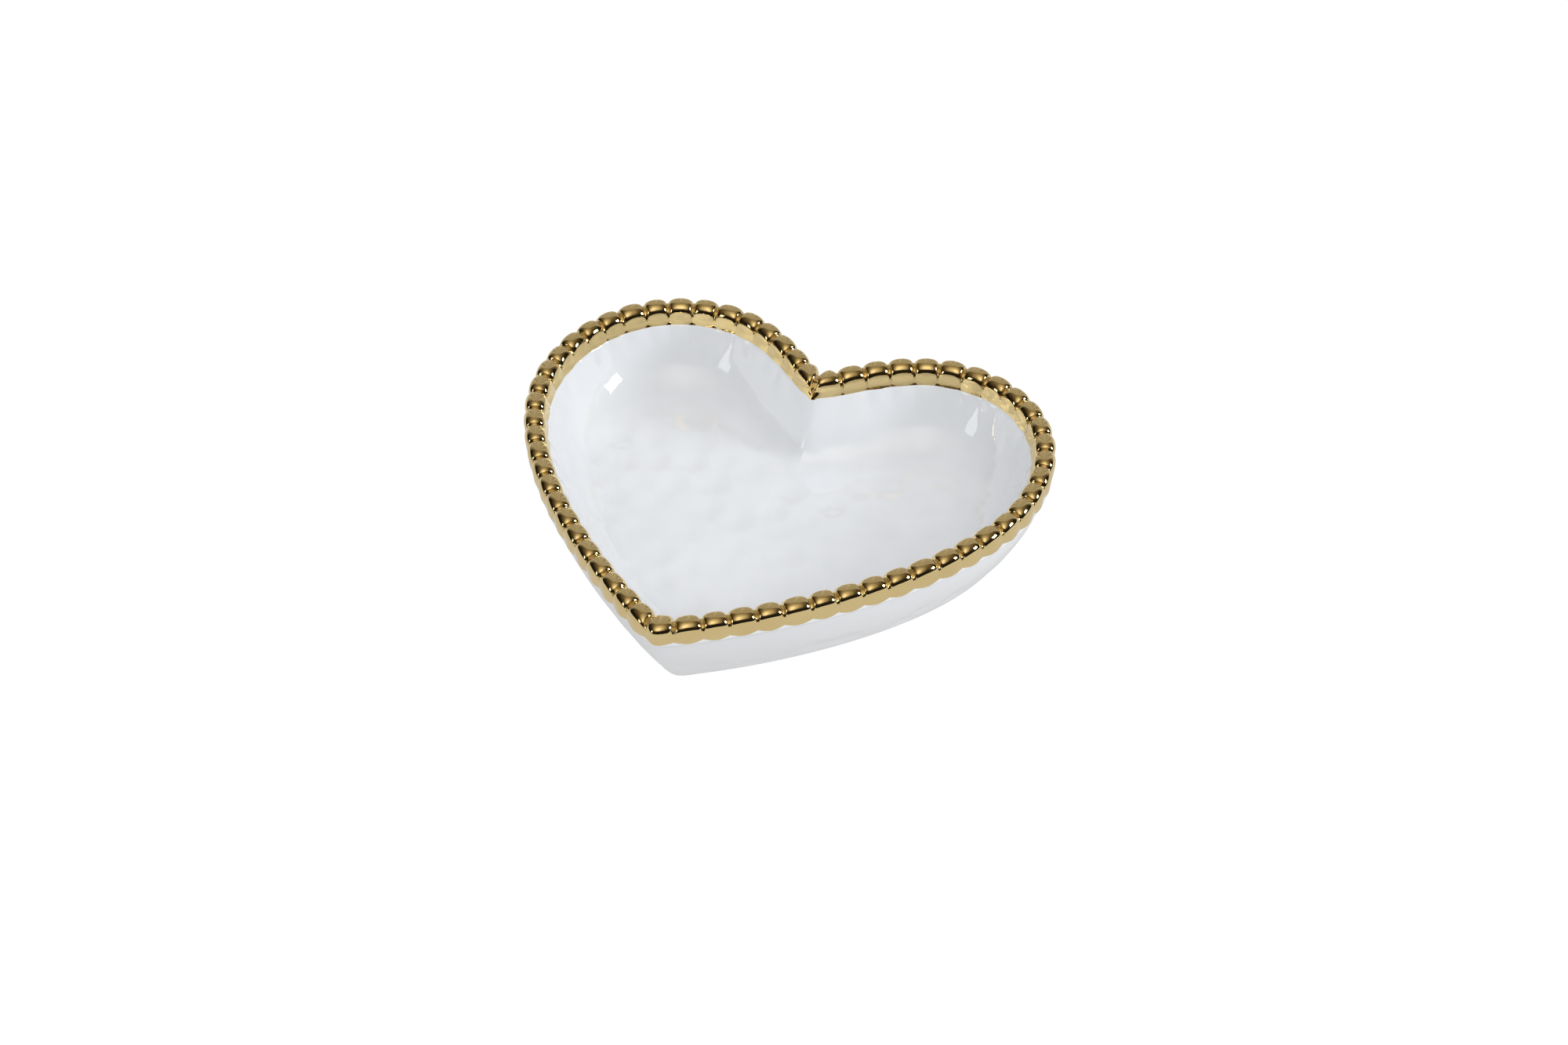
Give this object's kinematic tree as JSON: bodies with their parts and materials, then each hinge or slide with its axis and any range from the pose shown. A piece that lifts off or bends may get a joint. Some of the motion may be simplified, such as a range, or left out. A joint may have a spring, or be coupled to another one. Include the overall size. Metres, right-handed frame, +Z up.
{
  "type": "heart-shaped trinket dish",
  "caption": "Open heart-shaped porcelain dish with sloping walls, a foot ring and a gold beaded rim, for rings and small trinkets.",
  "frame": {"origin": "on the surface that the dish stands on, under the middle of its bounding box", "axes": "+Z up, +Y towards the two lobes and the notch between them, -Y towards the tip, +X to the right lobe"},
  "size_m": [0.1532, 0.1395, 0.0305],
  "materials": {
    "white_glaze": "glossy clear glaze over white porcelain with soft hand-pressed dimples",
    "bare_porcelain": "matt unglazed porcelain",
    "gold_plating": "mirror-polished gold fired over glazed porcelain"
  },
  "bodies": {
    "root": {"dish_body": "white_glaze", "foot_ring": "bare_porcelain", "rim_band": "gold_plating", "notch_beads": "gold_plating", "right_lobe_beads": "gold_plating", "right_side_beads": "gold_plating", "tip_bead": "gold_plating", "left_side_beads": "gold_plating", "left_lobe_beads": "gold_plating"}
  },
  "joints": []
}
